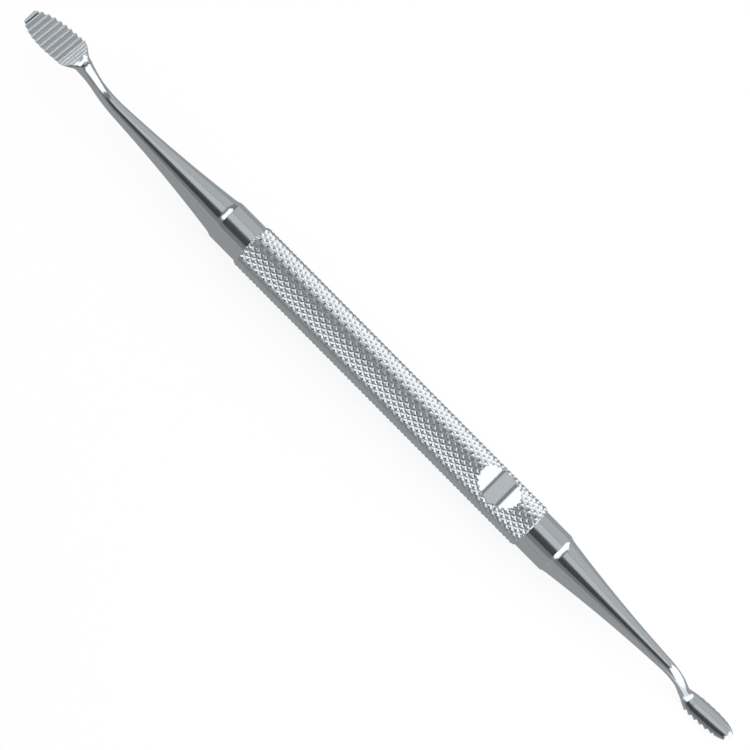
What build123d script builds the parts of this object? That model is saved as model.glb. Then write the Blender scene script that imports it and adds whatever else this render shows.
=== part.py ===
from build123d import *
from math import cos, radians, sin, tan
import os

os.makedirs("parts", exist_ok=True)

# Double-ended bone file, turned, forged and ground from one steel bar, in millimetres.
# +X runs along the handle to the small head, and +Z is the large head's toothed side.

# Knurled grip, with the cells of its diamond lattice
grip_length = 69.5
grip_diameter = 8.8
knurl_depth = 0.35
knurl_pitch = 1.74
knurls_around = 24

# Plain collars, each with a hollow shoulder down to its shank
collar_diameter = 8.0
collar_length = 6.0
shoulder_length = 1.3
shoulder_drop = 0.38
shoulder_radius = 4.0

# Thumb scoop, milled across the grip near the small head
scoop_radius = 6.9
scoop_depth = 1.7
scoop_from_middle = 25.8

# Large end: shank, bent neck, and a head whose face looks to +Z
large_shank_length = 24.65
large_neck_diameter = 2.34
large_bend_radius = 12.0
large_bend_angle = 30.5
large_neck_run = 4.7
large_swell_length = 4.7
large_heel_diameter = 3.08
large_heel_radius = 2.7
large_face_tilt = 14.0
large_face_rise = 0.55
large_flare_length = 3.3
large_head_roll = 0.0
large_head_length = 11.65
large_head_width = 6.55
large_nose_length = 8.2
large_tooth_pitch = 1.16
large_tooth_depth = 0.4
large_tooth_skew = 4.3
large_toothed_length = 11.7
large_fine_teeth = 4
large_tip_land = 1.05
large_heel_land = 0.5

# Small end: the same form, with its face looking to -Z
small_shank_length = 25.9
small_neck_diameter = 2.1
small_bend_radius = 6.3
small_bend_angle = 51.0
small_neck_run = 0.9
small_swell_length = 1.9
small_heel_diameter = 2.14
small_heel_radius = 3.1
small_face_tilt = 10.5
small_face_rise = 0.45
small_flare_length = 4.15
small_head_roll = -6.0
small_head_length = 9.1
small_head_width = 4.45
small_nose_length = 6.4
small_tooth_pitch = 1.25
small_tooth_depth = 0.35
small_tooth_skew = 0.0
small_toothed_length = 7.6
small_fine_teeth = 0
small_tip_land = 2.85
small_heel_land = 3.0

# Both ends
shank_hollow = 0.39
bend_sections = 5
edge_angle = 60.0
face_stock = 0.1
tip_width_share = 0.4
nose_power = 2.3
crest_share = 0.65
fine_share = 0.5
flare_sections = 5
nose_sections = 5

grip_radius = grip_diameter / 2
collar_radius = collar_diameter / 2


def smooth(share):
    share = min(max(share, 0.0), 1.0)
    return share * share * (3 - 2 * share)


def knurl_point(row, column, step):
    # Peaks and valleys alternate along both directions of the lattice
    peak = (row + column) % 2 == 0
    radius = grip_radius if peak else grip_radius - knurl_depth
    turn = radians(180 / knurls_around * column)
    return Vector(row * step, radius * sin(turn), radius * cos(turn))


def knurled_bar():
    half_rows = round(grip_length / knurl_pitch)
    step = grip_length / 2 / half_rows
    faces = []
    for row in range(-half_rows - 1, half_rows + 1):
        for column in range(2 * knurls_around):
            near = knurl_point(row, column, step)
            near_next = knurl_point(row, column + 1, step)
            far_next = knurl_point(row + 1, column + 1, step)
            far = knurl_point(row + 1, column, step)
            # Each cell folds along its valley, between the two low corners
            if (row + column) % 2 == 0:
                halves = ((near, near_next, far), (far_next, far, near_next))
            else:
                halves = ((near, near_next, far_next), (near, far_next, far))
            for corners in halves:
                faces.append(Face(Wire.make_polygon(corners)))
    for row in (-half_rows - 1, half_rows + 1):
        rim = [knurl_point(row, column, step) for column in range(2 * knurls_around)]
        faces.append(Face(Wire.make_polygon(rim)))
    return Solid(Shell(faces))


def grip():
    # The ends of the knurl are chamfered at 45 degrees down to the collars
    half = grip_length / 2
    slope = grip_diameter
    outline = Polyline(
        (-half, 0),
        (-half, collar_radius),
        (-half + slope, collar_radius + slope),
        (half - slope, collar_radius + slope),
        (half, collar_radius),
        (half, 0),
        close=True,
    )
    envelope = revolve(Plane.XZ * make_face(outline), Axis.X)
    return knurled_bar() & envelope


def scoop():
    centre_height = grip_radius - scoop_depth + scoop_radius
    centre = Plane((scoop_from_middle, 0, centre_height), x_dir=(1, 0, 0), z_dir=(0, 1, 0))
    return extrude(centre * Circle(scoop_radius), grip_diameter, both=True)


def collar():
    edge = (collar_length, collar_radius)
    root = (collar_length + shoulder_length, collar_radius - shoulder_drop)
    shoulder = RadiusArc(edge, root, -shoulder_radius)
    rest = Polyline(root, (collar_length + shoulder_length, 0), (0, 0), (0, collar_radius), edge)
    return revolve(Plane.XZ * make_face(shoulder + rest), Axis.X)


def along(path, distance):
    # Walk the path's legs, each a length and the angle it turns through
    x = 0.0
    z = 0.0
    heading = 0.0
    for length, angle in path:
        step = min(distance, length)
        turn = radians(angle) * step / length
        chord = step if turn == 0 else 2 * step / turn * sin(turn / 2)
        x += chord * cos(heading + turn / 2)
        z += chord * sin(heading + turn / 2)
        heading += turn
        distance -= step
    return x, z, heading


def section(path, distance, half_width, crown, depth, rise, roll):
    x, z, heading = along(path, distance)
    plane = Plane((x, 0, z), x_dir=(0, 1, 0), z_dir=(cos(heading), 0, sin(heading)))
    plane = plane.rotated((0, 0, roll))
    top = ThreePointArc((half_width, rise), (0, rise + crown), (-half_width, rise))
    belly = ThreePointArc((-half_width, rise), (0, rise - depth), (half_width, rise))
    return plane * make_face(top + belly)


def end_path(shank, bend_radius, bend, run, heel_radius, tilt, head):
    return (
        (shank, 0.0),
        (bend_radius * radians(bend), bend),
        (run, 0.0),
        (heel_radius * radians(bend + tilt), -bend - tilt),
        (head, 0.0),
    )


def forging(path, neck, swell, heel, rise, flare, roll, width, nose):
    # The turned shank, the bent neck and the head meet at shared sections
    lengths = [length for length, angle in path]
    bend_at = lengths[0]
    heel_at = bend_at + lengths[1] + lengths[2]
    neck_at = heel_at - swell
    tip_at = sum(lengths)
    nose_at = tip_at - nose
    root_radius = collar_radius - shoulder_drop

    def round_radius(distance):
        # A hollow taper to the thinnest place, then a slow swell to the heel
        if distance < neck_at:
            share = distance / neck_at
            taper = root_radius + (neck / 2 - root_radius) * share
            return taper - 4 * shank_hollow * share * (1 - share)
        share = (distance - neck_at) / (heel_at - neck_at)
        return neck / 2 + (heel - neck) / 2 * share * share

    def turned():
        start, middle, end = [
            (distance, round_radius(distance)) for distance in (0, bend_at / 2, bend_at)
        ]
        outline = ThreePointArc(start, middle, end) + Polyline(end, (bend_at, 0), (0, 0), start)
        return revolve(Plane.XZ * make_face(outline), Axis.X)

    def bar(distance):
        radius = round_radius(distance)
        return section(path, distance, radius, radius, radius, 0, 0)

    def blade(distance):
        # The round neck spreads to a half-round head, whose outline closes at the nose
        spread = smooth((distance - heel_at) / flare)
        share = max(distance - nose_at, 0) / nose
        closing = (1 - share**nose_power) ** (1 / nose_power)
        half_width = (heel / 2 + (width - heel) / 2 * spread) * closing
        crown = heel / 2 * (1 - spread) + face_stock * spread * closing
        depth = heel / 2 * (1 - spread) + half_width * tan(radians(edge_angle / 2)) * spread
        lift = (rise + face_stock) * spread
        return section(path, distance, half_width, crown, depth, lift, roll * spread)

    def spaced(start, end, sections):
        return [start + (end - start) * count / sections for count in range(sections)]

    # The nose's sections come closer together towards the tip
    tip_share = (1 - tip_width_share**nose_power) ** (1 / nose_power)
    turns = spaced(0, 90, nose_sections) + [90]
    noses = [nose_at + nose * tip_share * sin(radians(turn)) for turn in turns]
    flares = spaced(heel_at, nose_at, flare_sections)
    bends = spaced(bend_at, heel_at, bend_sections) + [heel_at]
    body = turned() + loft([bar(distance) for distance in bends])
    return body + loft([blade(distance) for distance in flares + noses])


def comb(path, rise, roll, width, pitch, depth, skew, toothed, fine, tip_land, heel_land):
    # Everything above the face, its lower side a row of teeth that lean to the tip
    head = path[-1][0]
    x, z, heading = along(path, sum(length for length, angle in path[:-1]))
    coarse = int((toothed - fine * pitch * fine_share) / pitch)
    tall = rise + width
    points = [(head + width, tall), (head + width, 0), (head - tip_land, 0)]
    root = head - tip_land
    for pitch_here, depth_here, count in (
        (pitch, depth, coarse),
        (pitch * fine_share, depth * fine_share, fine),
    ):
        for tooth in range(count):
            points.append((root, -depth_here))
            points.append((root - (1 - crest_share) * pitch_here, 0))
            root -= pitch_here
    points.append((root, -depth * fine_share))
    points.append((root, 0))
    points.append((root - heel_land, 0))
    points.append((root - heel_land, tall))
    face = Plane((x, 0, z), x_dir=(cos(heading), 0, sin(heading)), z_dir=(0, -1, 0))
    lifted = [(forward, height + rise) for forward, height in points]
    profile = face * make_face(Polyline(*lifted, close=True))
    cutter = extrude(profile, width, both=True)
    normal = Axis((x, 0, z), (-sin(heading), 0, cos(heading)))
    forward = Axis((x, 0, z), (cos(heading), 0, sin(heading)))
    return cutter.rotate(normal, -skew).rotate(forward, roll)


def large_end():
    path = end_path(
        large_shank_length,
        large_bend_radius,
        large_bend_angle,
        large_neck_run,
        large_heel_radius,
        large_face_tilt,
        large_head_length,
    )
    body = forging(
        path,
        large_neck_diameter,
        large_swell_length,
        large_heel_diameter,
        large_face_rise,
        large_flare_length,
        large_head_roll,
        large_head_width,
        large_nose_length,
    )
    teeth = comb(
        path,
        large_face_rise,
        large_head_roll,
        large_head_width,
        large_tooth_pitch,
        large_tooth_depth,
        large_tooth_skew,
        large_toothed_length,
        large_fine_teeth,
        large_tip_land,
        large_heel_land,
    )
    return body - teeth


def small_end():
    path = end_path(
        small_shank_length,
        small_bend_radius,
        small_bend_angle,
        small_neck_run,
        small_heel_radius,
        small_face_tilt,
        small_head_length,
    )
    body = forging(
        path,
        small_neck_diameter,
        small_swell_length,
        small_heel_diameter,
        small_face_rise,
        small_flare_length,
        small_head_roll,
        small_head_width,
        small_nose_length,
    )
    teeth = comb(
        path,
        small_face_rise,
        small_head_roll,
        small_head_width,
        small_tooth_pitch,
        small_tooth_depth,
        small_tooth_skew,
        small_toothed_length,
        small_fine_teeth,
        small_tip_land,
        small_heel_land,
    )
    return body - teeth


def bone_file():
    reach = grip_length / 2
    shank_from = reach + collar_length + shoulder_length
    large = Rot(0, 0, 180) * (Pos(reach, 0, 0) * collar() + Pos(shank_from, 0, 0) * large_end())
    small = Rot(180, 0, 0) * (Pos(reach, 0, 0) * collar() + Pos(shank_from, 0, 0) * small_end())
    whole = (grip() - scoop()) + large + small
    box = whole.bounding_box()
    middle = (box.min.X + box.max.X) / 2
    return Pos(-middle, 0, -box.min.Z) * whole


export_step(bone_file(), "parts/bone_file.step")
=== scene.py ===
from math import cos, pi, radians, sin, tan

import bpy
import numpy as np
from mathutils import Matrix, Vector


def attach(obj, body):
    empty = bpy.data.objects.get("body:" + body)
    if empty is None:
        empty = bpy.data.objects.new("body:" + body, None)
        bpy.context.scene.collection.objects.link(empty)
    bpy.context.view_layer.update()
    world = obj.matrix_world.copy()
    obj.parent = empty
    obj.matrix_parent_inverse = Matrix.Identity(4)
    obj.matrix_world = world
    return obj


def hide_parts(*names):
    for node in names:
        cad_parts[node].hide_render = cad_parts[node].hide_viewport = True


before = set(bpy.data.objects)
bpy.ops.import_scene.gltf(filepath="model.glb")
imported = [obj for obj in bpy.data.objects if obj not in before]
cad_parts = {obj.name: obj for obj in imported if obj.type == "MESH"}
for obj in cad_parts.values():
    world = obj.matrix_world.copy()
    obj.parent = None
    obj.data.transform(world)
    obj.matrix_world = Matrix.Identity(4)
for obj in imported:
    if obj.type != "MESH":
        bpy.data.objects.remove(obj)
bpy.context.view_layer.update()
mm = 0.001
sharpAngle = 38.0       # degrees; faces that meet at more stay sharp
print("frame loaded")


# The knurled grip, in millimetres
grip = {
    "length": 69.5,
    "radius": 4.4,
    "knurlDepth": 0.35,
    "knurlPitch": 1.74,
    "knurlsAround": 22,
    "stepsPerHalfKnurl": 4,
    "ridgeSoftness": 0.1,
    "grooveShare": 0.86,    # of the depth, from the root to the flat point
    "scoopX": 25.8,
    "scoopRadius": 6.9,
    "scoopDepth": 1.7,
    "scoopFacing": 0.05,    # least cosine of the turn from straight up
}


# Triangle wave: 1 at whole numbers, 0 halfway between them
def triangleWave(place):
    return np.abs(2 * (place % 1.0) - 1)


# The lower of two values, with the corner between them rounded over a width
def softLower(first, second, width):
    share = np.clip(0.5 + 0.5 * (second - first) / width, 0, 1)
    return second * (1 - share) + first * share - width * share * (1 - share)


# Radius over place along the grip and turn about it. Two families of V grooves cross, so
# the height is the lower of two triangle waves on the diagonals. A 45 degree chamfer
# limits the radius near the ends, and the scoop limits it to the height of a cylinder
# that lies across the grip, divided by the cosine of the turn.
def gripSurface(v, endRadius):
    cells = 2 * round(v["length"] / v["knurlPitch"])
    fine = v["stepsPerHalfKnurl"]
    rows = np.arange(cells * fine + 1) / fine - cells / 2
    columns = np.arange(2 * v["knurlsAround"] * fine) / fine
    row, column = np.meshgrid(rows, columns, indexing="ij")
    x = row * v["length"] / cells
    turn = column * pi / v["knurlsAround"]
    rising = triangleWave((row + column) / 2)
    falling = triangleWave((row - column) / 2)
    height = softLower(rising, falling, v["ridgeSoftness"])
    height = np.clip(height / v["grooveShare"], 0, 1)
    radius = v["radius"] - v["knurlDepth"] * (1 - height)
    radius = np.minimum(radius, endRadius + v["length"] / 2 - np.abs(x))
    inReach = np.clip(1 - ((x - v["scoopX"]) / v["scoopRadius"]) ** 2, 0, None)
    scoopHeight = v["radius"] - v["scoopDepth"] + v["scoopRadius"] * (1 - np.sqrt(inReach))
    facingUp = np.cos(turn)
    least = v["scoopFacing"]
    scooped = (facingUp > least) & (inReach > 0) & (radius * facingUp > scoopHeight)
    radius = np.where(scooped, scoopHeight / np.maximum(facingUp, least), radius)
    points = np.stack([x, radius * np.sin(turn), radius * np.cos(turn)], axis=-1)
    place = np.stack([x, turn * v["radius"], 0 * x], axis=-1)
    return points, height, scooped, place, (row, column)


# Two triangles to each square of the grid. The shared side follows the groove that
# crosses the cell, which runs the other way in every second cell.
def gripFaces(shape, row, column):
    rowCount, columnCount = shape
    i, j = np.meshgrid(np.arange(rowCount - 1), np.arange(columnCount), indexing="ij")
    near = i * columnCount + j
    far = near + columnCount
    nextJ = (j + 1) % columnCount
    nearNext = i * columnCount + nextJ
    farNext = nearNext + columnCount
    even = (np.floor(row[:-1] + 1e-6) + np.floor(column[:-1] + 1e-6)) % 2 == 0
    first = np.stack([near, far, np.where(even, nearNext, farNext)], axis=-1)
    second = np.stack([np.where(even, far, near), farNext, nearNext], axis=-1)
    return np.concatenate([first.reshape(-1, 3), second.reshape(-1, 3)])


# What the two ends share, in millimetres, degrees and shares
bothEnds = {
    "collarRadius": 4.0,
    "collar": 6.0,
    "shoulder": 1.3,
    "shoulderDrop": 0.38,
    "shoulderRadius": 4.0,
    "hollow": 0.39,
    "edgeAngle": 60.0,
    "faceStock": 0.1,
    "tipShare": 0.4,
    "nosePower": 2.3,
    "crestShare": 0.65,     # of the pitch, behind the crest
    "crestWear": 0.05,
    "crestRound": 0.8,      # of the depth that the wear takes
    "rootFlat": 0.02,
    "rootCurve": 0.06,
    "rootDepths": (0.97, 0.9, 0.94),    # of the depth: flat, steep side, long side
    "fineShare": 0.5,       # of the coarse pitch
    "fineDepth": 0.2,       # of the coarse depth
    "fineCrestShare": 0.8,
    "landDrop": 0.05,
    "heelSlope": 1.6,
    "heelReach": 4.0,
    "tipReach": 5.0,
}

largeEnd = {
    "shank": 24.65,
    "neck": 2.34,
    "bendRadius": 12.0,
    "bend": 30.5,
    "run": 4.7,
    "swell": 4.7,
    "heel": 3.08,
    "heelRadius": 2.7,
    "faceTilt": 14.0,
    "faceRise": 0.55,
    "flare": 3.3,
    "roll": 0.0,
    "head": 11.65,
    "width": 6.55,
    "nose": 8.2,
    "toothPitch": 1.16,
    "toothDepth": 0.4,
    "toothSkew": 4.3,
    "toothed": 11.7,
    "fineTeeth": 4,
    "tipLand": 1.05,
    "heelLand": 0.5,
}

smallEnd = {
    "shank": 25.9,
    "neck": 2.1,
    "bendRadius": 6.3,
    "bend": 51.0,
    "run": 0.9,
    "swell": 1.9,
    "heel": 2.14,
    "heelRadius": 3.1,
    "faceTilt": 10.5,
    "faceRise": 0.45,
    "flare": 4.15,
    "roll": -6.0,
    "head": 9.1,
    "width": 4.45,
    "nose": 6.4,
    "toothPitch": 1.25,
    "toothDepth": 0.35,
    "toothSkew": 0.0,
    "toothed": 7.6,
    "fineTeeth": 0,
    "tipLand": 2.85,
    "heelLand": 3.0,
}

# How the mesh of an end is divided and found
rings = {
    "columns": 88,
    "collar": 6,            # rings in each stretch
    "shoulder": 4,
    "shank": 34,
    "nose": 30,
    "neckStep": 0.33,       # millimetres, from here on
    "headStep": 0.22,
    "collarEdge": 0.1,
    "shoulderStart": 0.05,
    "shoulderEnd": 0.08,
    "cutStart": 0.4,
    "cornerGap": 0.07,
    "leastGap": 0.004,
    "slantStart": 0.1,      # where the rings begin to slant with the teeth
    "slantLength": 0.7,
    "slantEnd": 0.5,
    "noCut": 9.0,           # a height above every section, so nothing is cut
    "lowestCut": -5.0,
    "greatestLean": 60.0,   # degrees; where a section leans more, nothing is cut
    "samples": 6000,        # places at which the cut is read backwards
    "sectionTurns": 8,      # repeats until the place of each point is found
    "cutTurns": 12,
}


# Rises from 0 to 1 as three squares less two cubes
def smooth(share):
    share = np.clip(share, 0, 1)
    return share * share * (3 - 2 * share)


# The centre line as legs, each with its length and the angle it turns through
def endLegs(v):
    bend = radians(v["bend"])
    bendBack = radians(v["bend"] + v["faceTilt"])
    return (
        (bothEnds["collar"] + bothEnds["shoulder"] + v["shank"], 0.0),
        (v["bendRadius"] * bend, bend),
        (v["run"], 0.0),
        (v["heelRadius"] * bendBack, -bendBack),
        (v["head"], 0.0),
    )


# Place and heading at each distance: every leg adds its chord, which is the step times
# the sine of half its turn over half its turn, pointing along the mean of its headings
def walk(legs, distance):
    x = np.zeros_like(distance)
    z = np.zeros_like(distance)
    heading = np.zeros_like(distance)
    start = 0.0
    for length, angle in legs:
        step = np.clip(distance - start, 0, length)
        turn = angle * step / length
        chord = step * np.sinc(turn / (2 * pi))
        x = x + chord * np.cos(heading + turn / 2)
        z = z + chord * np.sin(heading + turn / 2)
        heading = heading + turn
        start += length
    return x, z, heading


# Half width, crown, depth, height of the widest line and roll at each distance. The
# collar is straight, the shoulder is an arc of a circle, the shank is a straight taper
# less a parabola, the neck swells with the square of the distance, and the head blends
# from round to half-round. Its outline closes as one less the power of the distance
# into the nose.
def sectionSizes(v, distance):
    b = bothEnds
    legs = endLegs(v)
    rootAt = b["collar"] + b["shoulder"]
    heelAt = legs[0][0] + legs[1][0] + legs[2][0]
    neckAt = heelAt - v["swell"]
    tipAt = heelAt + legs[3][0] + legs[4][0]
    rootRadius = b["collarRadius"] - b["shoulderDrop"]
    chord = np.hypot(b["shoulder"], b["shoulderDrop"])
    toCentre = np.sqrt(b["shoulderRadius"] ** 2 - chord**2 / 4) / chord
    centreAt = b["collar"] + b["shoulder"] / 2 + b["shoulderDrop"] * toCentre
    centreOut = b["collarRadius"] - b["shoulderDrop"] / 2 + b["shoulder"] * toCentre
    fromCentre = np.clip(distance, b["collar"], rootAt) - centreAt
    collar = centreOut - np.sqrt(b["shoulderRadius"] ** 2 - fromCentre**2)
    share = (distance - rootAt) / (neckAt - rootAt)
    straight = rootRadius + (v["neck"] / 2 - rootRadius) * share
    shank = straight - 4 * b["hollow"] * share * (1 - share)
    share = np.clip((distance - neckAt) / (heelAt - neckAt), 0, 1)
    neck = v["neck"] / 2 + (v["heel"] - v["neck"]) / 2 * share * share
    radius = np.where(distance < rootAt, collar, np.where(distance < neckAt, shank, neck))
    spread = smooth((distance - heelAt) / v["flare"])
    share = np.clip((distance - tipAt + v["nose"]) / v["nose"], 0, 1)
    closing = (1 - share ** b["nosePower"]) ** (1 / b["nosePower"])
    halfWidth = (radius + (v["width"] / 2 - radius) * spread) * closing
    crown = radius * (1 - spread) + b["faceStock"] * spread * closing
    depth = radius * (1 - spread) + halfWidth * tan(radians(b["edgeAngle"] / 2)) * spread
    lift = (v["faceRise"] + b["faceStock"]) * spread
    return halfWidth, crown, depth, lift, radians(v["roll"]) * spread


# The file face as a line over the distance along it: a land at the tip, teeth whose
# steep side looks to the tip, finer teeth, a land at the heel, then a slope to the neck.
# A tooth's corners are its root's flat and curve, two beside its crest, which the wear
# lowers by its width times the slope, and the next root's curve.
def toothLine(v):
    b = bothEnds
    finePitch = v["toothPitch"] * b["fineShare"]
    coarse = int((v["toothed"] - v["fineTeeth"] * finePitch) / v["toothPitch"])
    root = v["head"] - v["tipLand"]
    along = [v["head"] + b["tipReach"], v["head"], root + b["rootFlat"]]
    height = [0.0, 0.0, -b["landDrop"]]
    kinds = (
        (1.0, 1.0, b["crestShare"], coarse),
        (b["fineShare"], b["fineDepth"], b["fineCrestShare"], v["fineTeeth"]),
    )
    for share, depthShare, crestShare, count in kinds:
        pitch = v["toothPitch"] * share
        deep = v["toothDepth"] * depthShare
        wear = b["crestWear"] * share
        curve = b["rootCurve"] * share
        steep = (1 - crestShare) * pitch
        flatDepth, steepDepth, longDepth = b["rootDepths"]
        places = (b["rootFlat"] * share, curve, steep - wear, steep + wear, pitch - curve)
        depths = (
            flatDepth,
            steepDepth,
            wear / steep * b["crestRound"],
            wear / (pitch - steep) * b["crestRound"],
            longDepth,
        )
        for tooth in range(count):
            along += [root - place for place in places]
            height += [-deep * part for part in depths]
            root -= pitch
    heel = root - v["heelLand"]
    along += [root - b["rootFlat"], heel, heel - b["heelReach"]]
    height += [0.0, -b["landDrop"], b["heelReach"] * b["heelSlope"]]
    return np.array(along[::-1]), np.array(height[::-1])


# Where the face plane cuts each section: the height whose place in the head's own frame
# lies on the tooth line, found by repeating height = (line - start) / cosine of the lean
def cutHeight(v, distance, across, roll):
    none = rings["noCut"]
    legs = endLegs(v)
    headAt = sum(length for length, angle in legs[:-1])
    x, z, heading = walk(legs, distance)
    startX, startZ, startHeading = walk(legs, np.array([headAt]))
    lean = heading - startHeading
    ahead = (x - startX) * np.cos(startHeading) + (z - startZ) * np.sin(startHeading)
    above = (z - startZ) * np.cos(startHeading) - (x - startX) * np.sin(startHeading)
    skew = radians(v["toothSkew"])
    unrolled = radians(v["roll"]) - roll
    along, line = toothLine(v)
    height = np.full_like(distance, v["faceRise"])
    for turn in range(rings["cutTurns"]):
        place = (ahead - height * np.sin(lean)) * cos(skew) - across * sin(skew)
        cut = np.interp(place, along, line, left=none)
        height = (v["faceRise"] + cut - above) / np.cos(lean) / np.cos(unrolled)
        height = height + across * np.tan(unrolled)
        height = np.clip(height, rings["lowestCut"], none)
        height = np.where(lean > radians(rings["greatestLean"]), none, height)
    return height, place, cut


# Distances at which the end gets a ring: even steps in each leg, and one at each corner
# of the tooth line, found by reading the cut's place backwards
def endStations(v):
    b = bothEnds
    legs = endLegs(v)
    rootAt = b["collar"] + b["shoulder"]
    ends = np.cumsum([length for length, angle in legs])
    tipShare = (1 - b["tipShare"] ** b["nosePower"]) ** (1 / b["nosePower"])
    lastAt = ends[4] - v["nose"] * (1 - tipShare)
    dense = np.linspace(ends[2] + rings["cutStart"], lastAt, rings["samples"])
    height, place, cut = cutHeight(v, dense, 0 * dense, radians(v["roll"]))
    along, line = toothLine(v)
    corners = along[(along > place[0]) & (along < place[-1])]
    toothAt = np.interp(corners, np.maximum.accumulate(place), dense)
    # The rings of the nose lie closer as the outline turns in, with a sine
    quarter = np.sin(np.linspace(0, pi / 2, rings["nose"]))
    collarEnd = b["collar"] - rings["collarEdge"]
    shoulderAt = b["collar"] + rings["shoulderStart"]
    even = np.concatenate([
        np.linspace(rings["collarEdge"], collarEnd, rings["collar"]),
        np.linspace(shoulderAt, rootAt - rings["shoulderEnd"], rings["shoulder"]),
        np.linspace(rootAt + rings["shoulderEnd"], ends[0], rings["shank"]),
        np.arange(ends[0], ends[2], rings["neckStep"]),
        np.arange(ends[2], ends[4] - v["nose"], rings["headStep"]),
        ends[4] - v["nose"] + v["nose"] * tipShare * quarter,
    ])
    gap = np.abs(even[:, None] - toothAt[None, :]).min(axis=1)
    stations = np.sort(np.concatenate([even[gap > rings["cornerGap"]], toothAt, [lastAt]]))
    return stations[np.concatenate([[True], np.diff(stations) > rings["leastGap"]])]


# Each ring is a top line and a belly arc that meet at the widest line. A circle through
# three points gives both arcs; the cut lowers the top, and where it is below the widest
# line the belly arc stops where it reaches the cut. On the head the rings slant with the
# teeth, so the distance of each point is its ring's plus its width times the skew.
def endSurface(v):
    b = bothEnds
    legs = endLegs(v)
    stations = endStations(v)
    half = rings["columns"] // 2
    heelAt = sum(length for length, angle in legs[:3])
    last = stations[-1]
    share = np.arange(half) / half
    sweep = np.cos(pi * share)
    grid = np.repeat(stations[:, None], half, axis=1)
    slant = smooth((grid - heelAt - rings["slantStart"]) / rings["slantLength"])
    slant = slant * smooth((last - grid) / rings["slantEnd"]) * tan(radians(v["toothSkew"]))
    halves = []
    for side in ("top", "belly"):
        across = np.zeros_like(grid)
        for turn in range(rings["sectionTurns"]):
            distance = grid + across * slant
            halfWidth, crown, depth, lift, roll = sectionSizes(v, distance)
            height, place, cut = cutHeight(v, distance, across, roll)
            height = np.where(distance < heelAt, rings["noCut"], height)
            bellyRadius = (halfWidth**2 + depth**2) / (2 * depth)
            topRadius = (halfWidth**2 + crown**2) / (2 * crown)
            edgeHeight = lift - depth + bellyRadius - np.minimum(height, lift)
            reach = np.arccos(np.clip(edgeHeight / bellyRadius, -1, 1))
            if side == "top":
                across = bellyRadius * np.sin(reach) * sweep
                arc = np.sqrt(np.maximum(topRadius**2 - across**2, 0))
                upper = lift + crown - topRadius + arc
                rise = np.minimum(upper, height)
            else:
                angle = -reach * (1 - 2 * share)
                across = bellyRadius * np.sin(angle)
                rise = lift - depth + bellyRadius - bellyRadius * np.cos(angle)
        x, z, heading = walk(legs, distance)
        sideways = across * np.cos(roll) - rise * np.sin(roll)
        up = across * np.sin(roll) + rise * np.cos(roll)
        points = [x - up * np.sin(heading), sideways, z + up * np.cos(heading)]
        onFace = (upper > height - 1e-6) & (distance > heelAt) if side == "top" else grid < 0
        ridge = np.where(onFace, 1 + np.minimum(cut, 0) / v["toothDepth"], 1.0)
        halves.append((np.stack(points, axis=-1), onFace, ridge, distance))
    points, onFace, ridge, distance = (np.concatenate(pair, axis=1) for pair in zip(*halves))
    columns = rings["columns"]
    around = np.arange(columns) / columns * 2 * pi * b["collarRadius"]
    place = np.stack([distance, distance * 0 + around, distance * 0], axis=-1)
    return points, ridge, onFace, place


# Four-sided faces of a grid whose columns close round, facing outwards
def ringFaces(rowCount, columnCount):
    i, k = np.meshgrid(np.arange(rowCount - 1), np.arange(columnCount), indexing="ij")
    near = i * columnCount
    far = near + columnCount
    nextK = (k + 1) % columnCount
    return np.stack([near + k, near + nextK, far + nextK, far + k], axis=-1).reshape(-1, 4)


# Three triangles join each side of a coarse ring to two sides of a ring twice as fine
def joinFaces(fineRing, coarseRing):
    first, second = fineRing.reshape(-1, 2).T
    last = np.roll(first, -1)
    following = np.roll(coarseRing, -1)
    parts = (
        (first, second, coarseRing),
        (second, following, coarseRing),
        (second, last, following),
    )
    return np.concatenate([np.stack(part, axis=-1) for part in parts])


# Puts triangles, four-sided faces and their values into one mesh
def meshFrom(name, points, triangles, quads, materialOf, ridge, place):
    mesh = bpy.data.meshes.new(name)
    mesh.vertices.add(len(points))
    mesh.vertices.foreach_set("co", (points * mm).astype(np.float32).ravel())
    loops = np.concatenate([triangles.ravel(), quads.ravel()]).astype(np.int32)
    triangleStarts = np.arange(len(triangles)) * 3
    quadStarts = len(triangles) * 3 + np.arange(len(quads)) * 4
    starts = np.concatenate([triangleStarts, quadStarts]).astype(np.int32)
    mesh.loops.add(len(loops))
    mesh.loops.foreach_set("vertex_index", loops)
    mesh.polygons.add(len(starts))
    mesh.polygons.foreach_set("loop_start", starts)
    mesh.polygons.foreach_set("material_index", materialOf.astype(np.int32))
    mesh.polygons.foreach_set("use_smooth", np.ones(len(starts), dtype=bool))
    ridgeOf = mesh.attributes.new("ridge", "FLOAT", "POINT")
    ridgeOf.data.foreach_set("value", ridge.astype(np.float32))
    placeOf = mesh.attributes.new("place", "FLOAT_VECTOR", "POINT")
    placeOf.data.foreach_set("vector", place.astype(np.float32).ravel())
    mesh.update(calc_edges=True)
    mesh.validate()
    mesh.set_sharp_from_angle(angle=radians(sharpAngle))
    piece = bpy.data.objects.new(name, mesh)
    bpy.context.scene.collection.objects.link(piece)
    return piece


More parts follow.
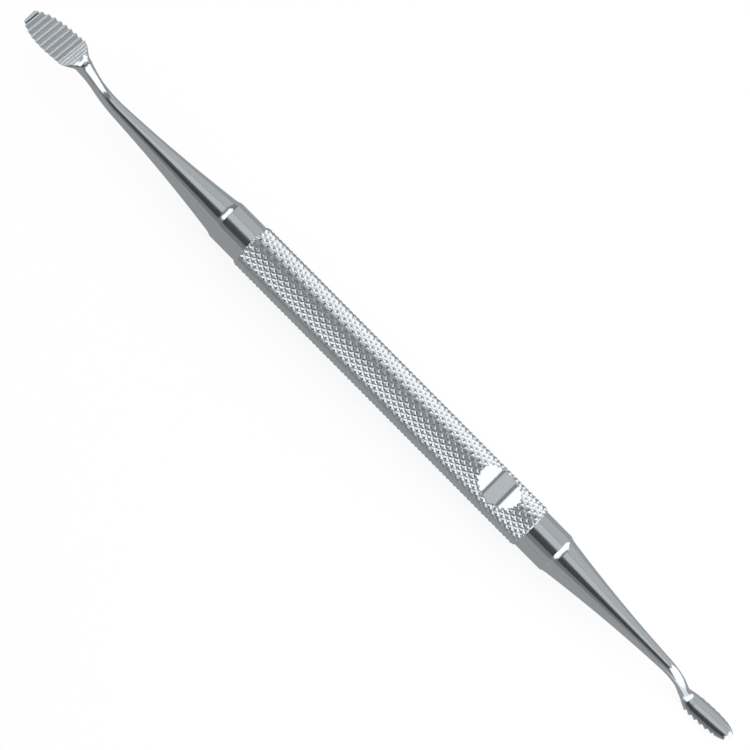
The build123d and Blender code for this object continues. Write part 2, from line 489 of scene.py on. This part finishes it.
# Grip, large end turned half about Z, and small end turned half about X, in one mesh
# whose box is centred on the origin and stands on the floor. The first ring of each end
# is joined to the grip's last row, and a fan of triangles closes the tip. Materials: 0
# is knurled, 1 polished and 2 toothed.
def buildFile():
    points, height, scooped, place, cells = gripSurface(grip, bothEnds["collarRadius"])
    rowCount, columnCount = height.shape
    triangles = [gripFaces(height.shape, *cells)]
    bare = scooped.ravel()[triangles[0]].all(axis=1)
    triangleMaterial = [np.where(bare, 1, 0)]
    allPoints = [points.reshape(-1, 3)]
    ridge = [height.ravel()]
    places = [place.reshape(-1, 3)]
    endPlaceOffset = [100, 0, 0]
    quads = []
    quadMaterial = []
    count = rowCount * columnCount
    turned = np.arange(columnCount)
    largeOrder = (turned - columnCount // 4) % columnCount
    smallOrder = (3 * columnCount // 4 - turned) % columnCount
    ends = (
        (largeEnd, (-1, -1, 1), largeOrder),
        (smallEnd, (1, -1, -1), smallOrder + (rowCount - 1) * columnCount),
    )
    for v, sign, gripRing in ends:
        local, endRidge, onFace, endPlace = endSurface(v)
        stations, columns = endRidge.shape
        local = local + np.array([grip["length"] / 2, 0, 0])
        tip = local[-1].mean(axis=0, keepdims=True)
        tipPlace = endPlace[-1].mean(axis=0, keepdims=True)
        allPoints += [local.reshape(-1, 3) * sign, tip * sign]
        ridge += [endRidge.ravel(), np.ones(1)]
        places += [endPlace.reshape(-1, 3) + endPlaceOffset, tipPlace + endPlaceOffset]
        faces = ringFaces(stations, columns)
        quads.append(faces + count)
        quadMaterial.append(np.where(onFace.ravel()[faces].sum(axis=1) >= 3, 2, 1))
        firstRing = np.arange(columns) + count
        lastRing = firstRing + (stations - 1) * columns
        pole = np.full(columns, count + stations * columns)
        triangles.append(joinFaces(gripRing, firstRing))
        triangles.append(np.stack([lastRing, np.roll(lastRing, -1), pole], axis=-1))
        triangleMaterial.append(np.ones(columns * 3 + columns))
        count += stations * columns + 1
    allPoints = np.concatenate(allPoints)
    low = allPoints.min(axis=0)
    high = allPoints.max(axis=0)
    allPoints = allPoints - [(low[0] + high[0]) / 2, 0, low[2]]
    materialOf = np.concatenate(triangleMaterial + quadMaterial)
    triangles = np.concatenate(triangles)
    quads = np.concatenate(quads)
    print("triangles", len(triangles) + 2 * len(quads))
    ridge = np.concatenate(ridge)
    places = np.concatenate(places)
    return meshFrom("boneFile", allPoints, triangles, quads, materialOf, ridge, places)


# Finishes of the steel. The roughness, and a shade painted into the grooves as darker
# colour, run from the groove to the crest, and along and around are the scales of the tool
# marks.
steel = {
    "color": (0.61, 0.65, 0.68),
    "smudgeScale": 140.0,
    "smudgeDetail": 2.0,
    "smudgeRoughness": 0.03,
    "markDetail": 3.0,
    "markRange": (0.35, 0.65),
    "markRoughness": 0.03,
    "markHeight": 0.00002,  # metres
}

knurled = {
    "along": 3.0,
    "around": 3.0,
    "paintedGrooveShade": 1.0,
    "grooveRoughness": 0.25,
    "crestRoughness": 0.1,
    "bump": 0.15,
}

polished = {
    "along": 0.6,
    "around": 9.0,
    "paintedGrooveShade": 1.0,
    "grooveRoughness": 0.09,
    "crestRoughness": 0.09,
    "bump": 0.1,
}

toothed = {
    "along": 8.0,
    "around": 0.5,
    # painted shade: the tooth grooves get a darker base colour
    "paintedGrooveShade": 0.8,
    "grooveRoughness": 0.32,
    "crestRoughness": 0.2,
    "bump": 0.2,
}


def link(tree, source, target):
    tree.links.new(source, target)


def addInput(group, name, value):
    socket = group.interface.new_socket(name, in_out="INPUT", socket_type="NodeSocketFloat")
    socket.default_value = value


def addOutput(group, name, kind):
    group.interface.new_socket(name, in_out="OUTPUT", socket_type=kind)


# Fine tool marks: noise that is stretched by its own amounts along and around the piece,
# as a height and as a mask
def makeGrainGroup():
    group = bpy.data.node_groups.new("toolMarks", "ShaderNodeTree")
    addInput(group, "Along", 1.0)
    addInput(group, "Around", 1.0)
    addOutput(group, "Height", "NodeSocketFloat")
    addOutput(group, "Mask", "NodeSocketFloat")
    nodes = group.nodes
    inside = nodes.new("NodeGroupInput")
    outside = nodes.new("NodeGroupOutput")
    place = nodes.new("ShaderNodeAttribute")
    place.attribute_name = "place"
    scale = nodes.new("ShaderNodeCombineXYZ")
    scale.inputs["Z"].default_value = 1
    stretched = nodes.new("ShaderNodeVectorMath")
    stretched.operation = "MULTIPLY"
    noise = nodes.new("ShaderNodeTexNoise")
    noise.inputs["Scale"].default_value = 1
    noise.inputs["Detail"].default_value = steel["markDetail"]
    mask = nodes.new("ShaderNodeMapRange")
    mask.inputs["From Min"].default_value = steel["markRange"][0]
    mask.inputs["From Max"].default_value = steel["markRange"][1]
    link(group, inside.outputs["Along"], scale.inputs["X"])
    link(group, inside.outputs["Around"], scale.inputs["Y"])
    link(group, place.outputs["Vector"], stretched.inputs[0])
    link(group, scale.outputs["Vector"], stretched.inputs[1])
    link(group, stretched.outputs["Vector"], noise.inputs["Vector"])
    link(group, noise.outputs["Fac"], mask.inputs["Value"])
    link(group, noise.outputs["Fac"], outside.inputs["Height"])
    link(group, mask.outputs["Result"], outside.inputs["Mask"])
    return group


# Painted shade in the grooves and the roughness of the steel: both run from groove to crest
# with the ridge value, and the roughness gains a share of soft noise and of the tool marks
def makeShadeAndRoughnessGroup():
    group = bpy.data.node_groups.new("steelPaintedShadeAndRoughness", "ShaderNodeTree")
    addInput(group, "Painted Groove Shade", 0.7)
    addInput(group, "Groove Roughness", 0.3)
    addInput(group, "Crest Roughness", 0.2)
    addInput(group, "Marks", 0.5)
    addOutput(group, "Color", "NodeSocketColor")
    addOutput(group, "Roughness", "NodeSocketFloat")
    nodes = group.nodes
    inside = nodes.new("NodeGroupInput")
    outside = nodes.new("NodeGroupOutput")
    ridge = nodes.new("ShaderNodeAttribute")
    ridge.attribute_name = "ridge"
    coords = nodes.new("ShaderNodeTexCoord")
    noise = nodes.new("ShaderNodeTexNoise")
    noise.inputs["Scale"].default_value = steel["smudgeScale"]
    noise.inputs["Detail"].default_value = steel["smudgeDetail"]
    shade = nodes.new("ShaderNodeMapRange")
    # Painted shade: the colour runs from black towards the steel's colour as the ridge value
    # rises
    tone = nodes.new("ShaderNodeMix")
    tone.data_type = "RGBA"
    tone.inputs["A"].default_value = (0, 0, 0, 1)
    tone.inputs["B"].default_value = (*steel["color"], 1)
    rough = nodes.new("ShaderNodeMapRange")
    smudge = nodes.new("ShaderNodeMath")
    smudge.operation = "MULTIPLY_ADD"
    smudge.inputs[1].default_value = steel["smudgeRoughness"]
    marks = nodes.new("ShaderNodeMath")
    marks.operation = "MULTIPLY_ADD"
    marks.inputs[1].default_value = steel["markRoughness"]
    link(group, ridge.outputs["Fac"], shade.inputs["Value"])
    link(group, inside.outputs["Painted Groove Shade"], shade.inputs["To Min"])
    link(group, shade.outputs["Result"], tone.inputs["Factor"])
    link(group, ridge.outputs["Fac"], rough.inputs["Value"])
    link(group, inside.outputs["Groove Roughness"], rough.inputs["To Min"])
    link(group, inside.outputs["Crest Roughness"], rough.inputs["To Max"])
    link(group, coords.outputs["Object"], noise.inputs["Vector"])
    link(group, noise.outputs["Fac"], smudge.inputs[0])
    link(group, rough.outputs["Result"], smudge.inputs[2])
    link(group, inside.outputs["Marks"], marks.inputs[0])
    link(group, smudge.outputs["Value"], marks.inputs[2])
    link(group, tone.outputs["Result"], outside.inputs["Color"])
    link(group, marks.outputs["Value"], outside.inputs["Roughness"])
    return group


grainGroup = makeGrainGroup()
shadeAndRoughnessGroup = makeShadeAndRoughnessGroup()


# Metal whose roughness comes from the shade and roughness group and whose bump comes from
# the tool marks. Its colour comes from that group where shade is painted into the grooves,
# and is one colour elsewhere.
def makeSteel(name, v):
    material = bpy.data.materials.new(name)
    material.use_nodes = True
    tree = material.node_tree
    shader = tree.nodes["Principled BSDF"]
    shader.inputs["Metallic"].default_value = 1
    shader.inputs["Base Color"].default_value = (*steel["color"], 1)
    grain = tree.nodes.new("ShaderNodeGroup")
    grain.node_tree = grainGroup
    grain.inputs["Along"].default_value = v["along"]
    grain.inputs["Around"].default_value = v["around"]
    tone = tree.nodes.new("ShaderNodeGroup")
    tone.node_tree = shadeAndRoughnessGroup
    tone.inputs["Painted Groove Shade"].default_value = v["paintedGrooveShade"]
    tone.inputs["Groove Roughness"].default_value = v["grooveRoughness"]
    tone.inputs["Crest Roughness"].default_value = v["crestRoughness"]
    relief = tree.nodes.new("ShaderNodeBump")
    relief.inputs["Strength"].default_value = v["bump"]
    relief.inputs["Distance"].default_value = steel["markHeight"]
    link(tree, grain.outputs["Mask"], tone.inputs["Marks"])
    link(tree, grain.outputs["Height"], relief.inputs["Height"])
    # Painted shade: darker colour in the grooves, only where it is set below 1
    if v["paintedGrooveShade"] < 1:
        link(tree, tone.outputs["Color"], shader.inputs["Base Color"])
    link(tree, tone.outputs["Roughness"], shader.inputs["Roughness"])
    link(tree, relief.outputs["Normal"], shader.inputs["Normal"])
    return material


steels = [
    makeSteel("knurledSteel", knurled),
    makeSteel("polishedSteel", polished),
    makeSteel("toothSteel", toothed),
]
print("materials made")

boneFile = buildFile()
for material in steels:
    boneFile.data.materials.append(material)
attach(boneFile, "root")
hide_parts("bone_file")
print("bone file built")


# Levels of the floor's and the world's own light
studio = {
    "floorSide": 12.0,      # metres
    "floorColor": 0.16,
    "floorFill": 0.88,
    "floorReflected": 0.32,
    "worldReflected": 0.27,
    "worldFill": 0.3,
}


# A level that is one value to the camera, another to mirrors and glass, and a third else
def lightPathLevel(tree, toCamera, toMirrors, toRest):
    path = tree.nodes.new("ShaderNodeLightPath")
    mirrors = tree.nodes.new("ShaderNodeMath")
    mirrors.operation = "MAXIMUM"
    soft = tree.nodes.new("ShaderNodeMath")
    soft.operation = "MULTIPLY_ADD"
    soft.inputs[1].default_value = toMirrors - toRest
    soft.inputs[2].default_value = toRest
    whole = tree.nodes.new("ShaderNodeMath")
    whole.operation = "MULTIPLY_ADD"
    whole.inputs[1].default_value = toCamera - toRest
    link(tree, path.outputs["Is Glossy Ray"], mirrors.inputs[0])
    link(tree, path.outputs["Is Transmission Ray"], mirrors.inputs[1])
    link(tree, mirrors.outputs["Value"], soft.inputs[0])
    link(tree, path.outputs["Is Camera Ray"], whole.inputs[0])
    link(tree, soft.outputs["Value"], whole.inputs[2])
    return whole.outputs["Value"]


# One flat face through its corners, with an empty material
def makeSheet(name, corners, materialName):
    mesh = bpy.data.meshes.new(name)
    mesh.from_pydata([tuple(corner) for corner in corners], [], [tuple(range(len(corners)))])
    sheet = bpy.data.objects.new(name, mesh)
    bpy.context.scene.collection.objects.link(sheet)
    material = bpy.data.materials.new(materialName)
    material.use_nodes = True
    mesh.materials.append(material)
    return sheet, material.node_tree


# A matt floor that takes the shadow, plus a glow of its own
def makeFloor():
    side = studio["floorSide"] / 2
    corners = [(-side, -side, 0), (side, -side, 0), (side, side, 0), (-side, side, 0)]
    floor, tree = makeSheet("floor", corners, "paperSweep")
    tree.nodes.clear()
    output = tree.nodes.new("ShaderNodeOutputMaterial")
    matt = tree.nodes.new("ShaderNodeBsdfDiffuse")
    matt.inputs["Color"].default_value = (studio["floorColor"],) * 3 + (1,)
    glow = tree.nodes.new("ShaderNodeEmission")
    both = tree.nodes.new("ShaderNodeAddShader")
    level = lightPathLevel(tree, studio["floorFill"], studio["floorReflected"], 0.0)
    link(tree, level, glow.inputs["Strength"])
    link(tree, matt.outputs["BSDF"], both.inputs[0])
    link(tree, glow.outputs["Emission"], both.inputs[1])
    link(tree, both.outputs["Shader"], output.inputs["Surface"])


def makeWorld():
    world = bpy.data.worlds.new("studio")
    bpy.context.scene.world = world
    world.use_nodes = True
    tree = world.node_tree
    background = tree.nodes["Background"]
    background.inputs["Color"].default_value = (1, 1, 1, 1)
    level = lightPathLevel(tree, 1.0, studio["worldReflected"], studio["worldFill"])
    link(tree, level, background.inputs["Strength"])


# Each light: middle, and the half sizes along its two sides, in metres, then brightness.
# The two upright end walls give the white glints on slopes that lean along the handle.
softboxes = {
    "endWallLeft": ((-0.5, 0.165, 0.42), (0, 0.465, 0), (0, 0, 0.35), 1.35),
    "endWallRight": ((0.2, 0.105, 0.152), (0, 0.255, 0), (0, 0, 0.15), 1.35),
    "topBox": ((0, 0.31, 1.26), (0.5, 0, 0), (0, 0.388, -0.097), 0.46),
    "backBox": ((0, 1.14, 0.63), (0.5, 0, 0), (0, 0.339, -0.612), 0.34),
    "frontBox": ((0, -1.25, 0.3), (1.1, 0, 0), (0, 0.06, 0.28), 0.17),
}


# A rectangle of light, with its back away from the object. Its power is its brightness
# times pi times its area.
def makeSoftbox(name, middle, halfAlong, halfAcross, brightness):
    along = Vector(halfAlong)
    across = Vector(halfAcross)
    if along.cross(across).dot(Vector(middle)) < 0:
        along = -along
    light = bpy.data.lights.new(name, "AREA")
    light.shape = "RECTANGLE"
    light.size = 2 * along.length
    light.size_y = 2 * across.length
    light.energy = brightness * pi * light.size * light.size_y
    box = bpy.data.objects.new(name, light)
    sides = (along.normalized(), across.normalized(), along.cross(across).normalized())
    turned = Matrix(sides).transposed().to_4x4()
    box.matrix_world = Matrix.Translation(Vector(middle)) @ turned
    box.visible_camera = False
    bpy.context.scene.collection.objects.link(box)


view = {
    "tilt": 19.0,           # degrees from straight above, to -Y
    "roll": 45.284,         # degrees of the handle below the picture's level
    "middle": (-0.89, -0.552, 4.788),   # millimetres
    "frameSide": 130.34,    # millimetres
    "lens": 400.0,
    "sensor": 36.0,
    "clipEnd": 50.0,        # metres
}

# A grey card between the camera and the object, seen only in the steel
darkCard = {
    "distance": 1.2,        # metres
    "fromView": -7.0,       # degrees from the camera's line, to +Y
    "halfAcross": 16.0,     # degrees
    "halfAlong": 26.0,      # degrees
    "shade": 0.35,
}


# The half sides are the distance times the tangents of the half angles
def makeDarkCard():
    v = darkCard
    lean = radians(v["fromView"] - view["tilt"])
    middle = Vector((0, sin(lean), cos(lean))) * v["distance"]
    halfAcross = v["distance"] * tan(radians(v["halfAcross"]))
    across = Vector((0, cos(lean), -sin(lean))) * halfAcross
    along = Vector((1, 0, 0)) * v["distance"] * tan(radians(v["halfAlong"]))
    signs = ((-1, -1), (1, -1), (1, 1), (-1, 1))
    corners = [middle + along * i + across * j for i, j in signs]
    card, tree = makeSheet("darkCard", corners, "greyFelt")
    shader = tree.nodes["Principled BSDF"]
    shader.inputs["Base Color"].default_value = (v["shade"],) * 3 + (1,)
    shader.inputs["Roughness"].default_value = 1
    card.visible_camera = False
    card.visible_shadow = False


# A white card on the floor beyond the small head, seen only in the steel. It reaches
# under the head on the near side alone, so that the head's far edge stays grey.
floorCard = {
    "corners": (            # metres
        (0.081, -0.08),
        (0.198, -0.08),
        (0.198, 0.36),
        (0.089, 0.36),
        (0.089, 0.0),
        (0.081, 0.0),
    ),
    "height": 0.0005,       # metres
    "level": 1.2,
}


def makeFloorCard():
    v = floorCard
    corners = [(x, y, v["height"]) for x, y in v["corners"]]
    card, tree = makeSheet("floorCard", corners, "whiteCard")
    shader = tree.nodes["Principled BSDF"]
    shader.inputs["Base Color"].default_value = (0, 0, 0, 1)
    shader.inputs["Specular IOR Level"].default_value = 0
    shader.inputs["Emission Color"].default_value = (1, 1, 1, 1)
    shader.inputs["Emission Strength"].default_value = v["level"]
    card.visible_camera = False
    card.visible_diffuse = False
    card.visible_shadow = False


# The camera's axes are the view's own across and up, turned by the roll. Its distance is
# the frame's side times the lens over the sensor.
def makeCamera():
    data = bpy.data.cameras.new("camera")
    data.lens = view["lens"]
    data.sensor_width = view["sensor"]
    data.clip_end = view["clipEnd"]
    camera = bpy.data.objects.new("camera", data)
    tilt = radians(view["tilt"])
    roll = radians(view["roll"])
    back = Vector((0, -sin(tilt), cos(tilt)))
    across = Vector((0, cos(tilt), sin(tilt)))
    right = Vector((1, 0, 0)) * cos(roll) + across * sin(roll)
    up = across * cos(roll) - Vector((1, 0, 0)) * sin(roll)
    distance = view["frameSide"] * mm * view["lens"] / view["sensor"]
    place = Vector(view["middle"]) * mm + back * distance
    turned = Matrix((right, up, back)).transposed().to_4x4()
    camera.matrix_world = Matrix.Translation(place) @ turned
    bpy.context.scene.collection.objects.link(camera)
    bpy.context.scene.camera = camera


makeFloor()
makeWorld()
for name, values in softboxes.items():
    makeSoftbox(name, *values)
makeDarkCard()
makeFloorCard()
makeCamera()
bpy.context.scene.view_settings.view_transform = "Standard"
print("studio ready")
